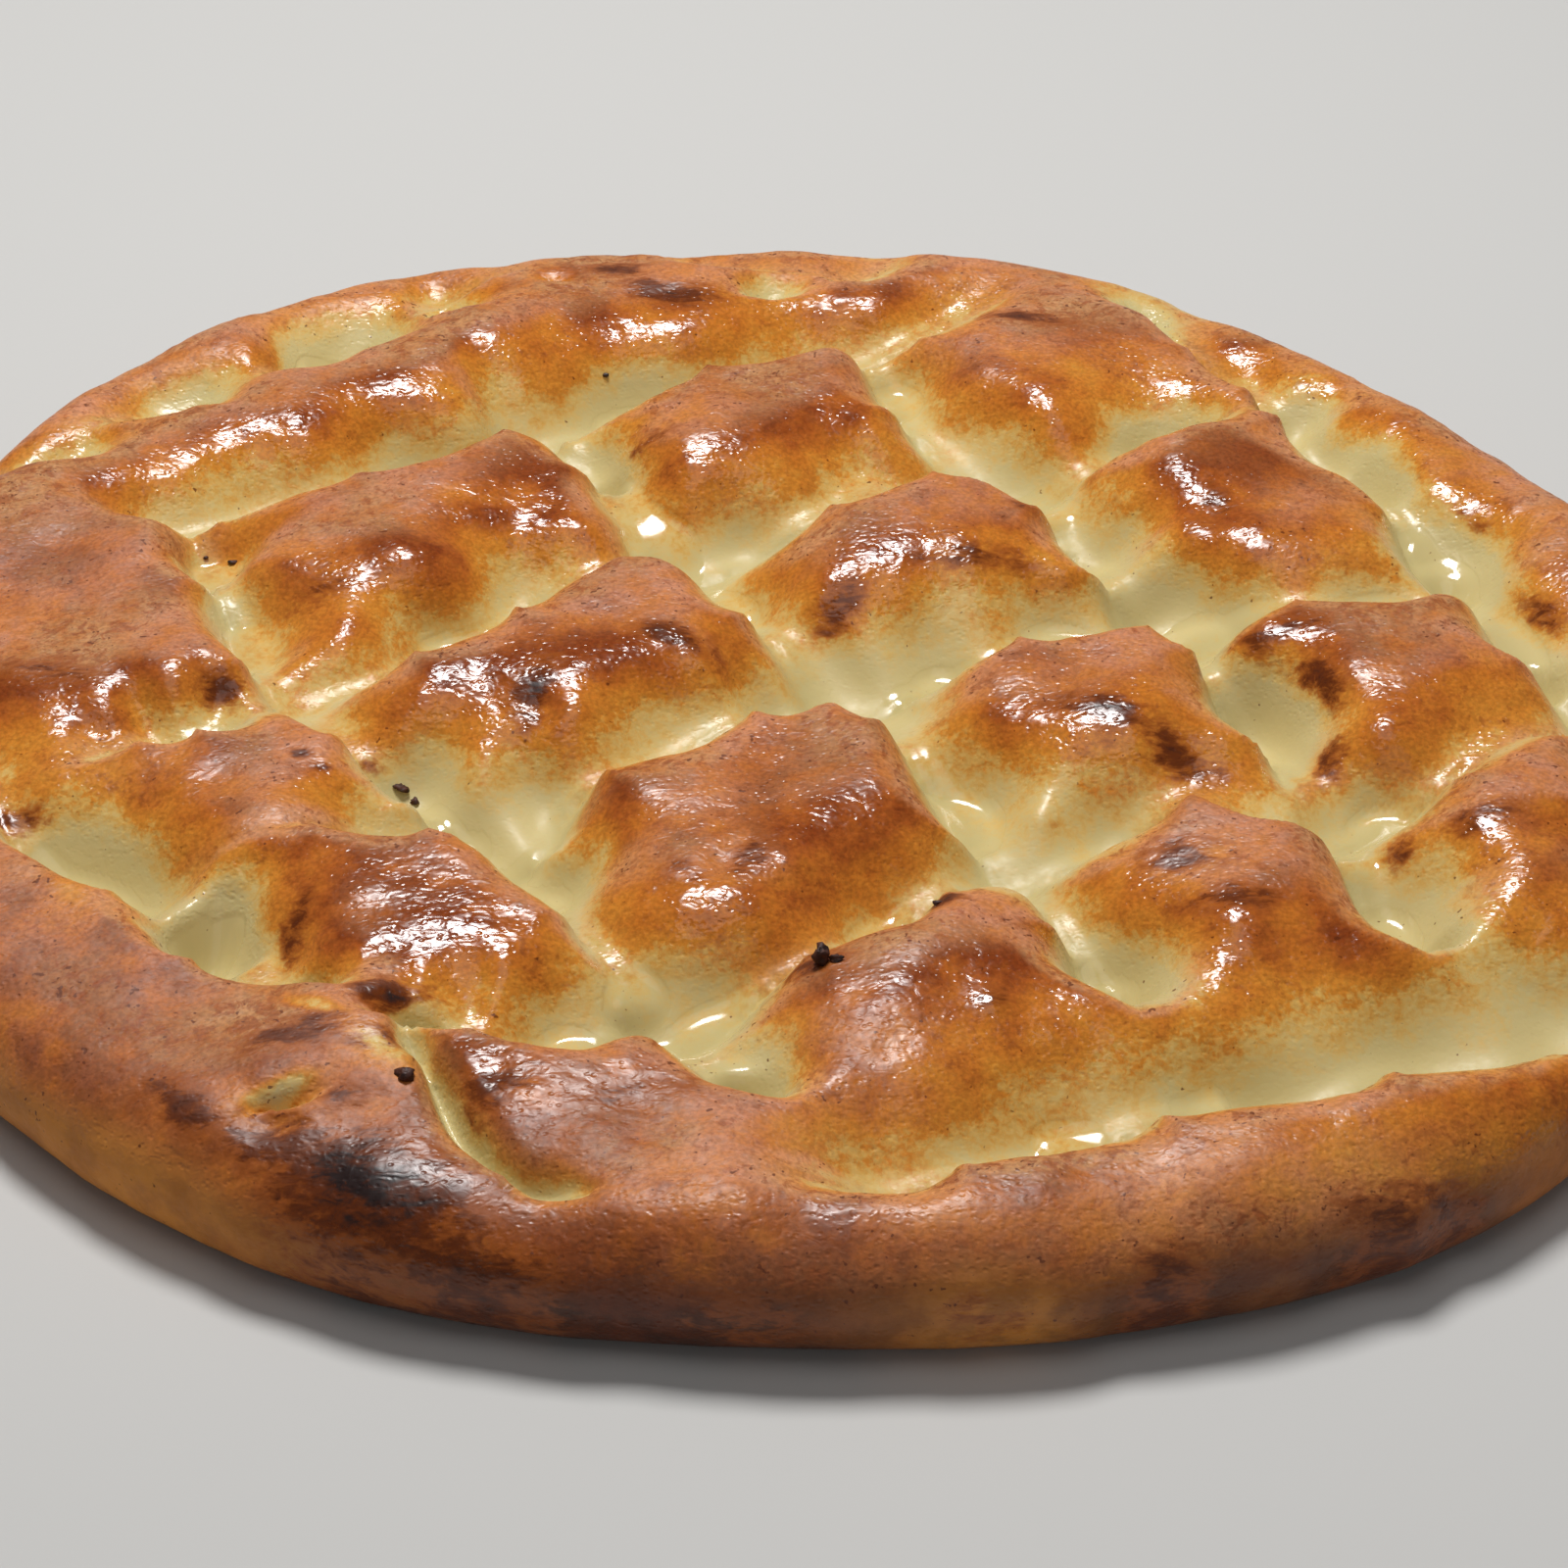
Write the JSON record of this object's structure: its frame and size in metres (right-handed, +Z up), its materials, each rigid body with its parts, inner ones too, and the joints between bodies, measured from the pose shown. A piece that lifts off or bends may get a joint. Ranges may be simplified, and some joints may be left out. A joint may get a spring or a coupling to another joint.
{
  "type": "pide bread",
  "caption": "Round flat Turkish pide loaf with a full rim, rows of deep finger presses between glossy browned pillows, and a flat base.",
  "frame": {"origin": "middle of the loaf on its flat base", "axes": "+X to the loaf's right as seen from the front, +Y to its back, +Z up"},
  "size_m": [0.3208, 0.2912, 0.028],
  "materials": {
    "baked_crust": "glazed golden-brown crust, darker on the high places and pale in the presses"
  },
  "bodies": {
    "root": {"pide_bread": "baked_crust"}
  },
  "joints": []
}
